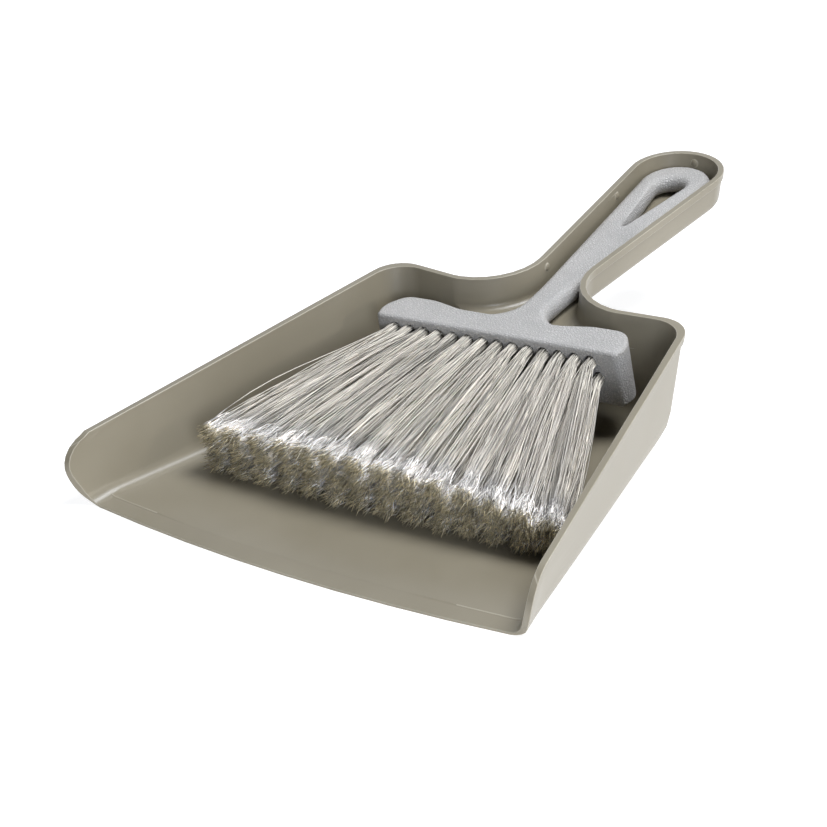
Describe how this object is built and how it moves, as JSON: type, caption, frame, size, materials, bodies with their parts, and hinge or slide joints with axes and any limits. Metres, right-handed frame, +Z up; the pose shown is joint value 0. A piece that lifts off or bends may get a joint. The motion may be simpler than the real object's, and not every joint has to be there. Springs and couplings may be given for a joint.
{
  "type": "dust pan and brush set",
  "caption": "Hand dust pan with raised sides and a hollow handle, and a broad soft brush that nests in the pan with its loop grip inside the handle.",
  "frame": {"origin": "on the pan's flat underside, midway between the two front corners of its mouth", "axes": "+Z up from the surface it lies on, +Y from the mouth towards the end of the handle, +X to the right when looking along +Y"},
  "size_m": [0.2226, 0.3449, 0.0687],
  "materials": {
    "pan_plastic": "satin, taupe grey",
    "brush_plastic": "fine leather grain, light pearly grey",
    "bristle": "fine flagged filament, light grey beige"
  },
  "bodies": {
    "pan": {"dust_pan": "pan_plastic"},
    "brush": {"brush_handle": "brush_plastic", "tuft_1_01": "bristle", "tuft_1_02": "bristle", "tuft_1_03": "bristle", "tuft_1_04": "bristle", "tuft_1_05": "bristle", "tuft_1_06": "bristle", "tuft_1_07": "bristle", "tuft_1_08": "bristle", "tuft_1_09": "bristle", "tuft_1_10": "bristle", "tuft_1_11": "bristle", "tuft_1_12": "bristle", "tuft_1_13": "bristle", "tuft_1_14": "bristle", "tuft_2_01": "bristle", "tuft_2_02": "bristle", "tuft_2_03": "bristle", "tuft_2_04": "bristle", "tuft_2_05": "bristle", "tuft_2_06": "bristle", "tuft_2_07": "bristle", "tuft_2_08": "bristle", "tuft_2_09": "bristle", "tuft_2_10": "bristle", "tuft_2_11": "bristle", "tuft_2_12": "bristle", "tuft_2_13": "bristle", "tuft_2_14": "bristle", "tuft_3_01": "bristle", "tuft_3_02": "bristle", "tuft_3_03": "bristle", "tuft_3_04": "bristle", "tuft_3_05": "bristle", "tuft_3_06": "bristle", "tuft_3_07": "bristle", "tuft_3_08": "bristle", "tuft_3_09": "bristle", "tuft_3_10": "bristle", "tuft_3_11": "bristle", "tuft_3_12": "bristle", "tuft_3_13": "bristle", "tuft_3_14": "bristle"}
  },
  "joints": [
    {"name": "brush_lift", "type": "slide", "parent": "pan", "child": "brush", "axis": [0, 0, 1], "range_m": [0, 0.1]}
  ]
}
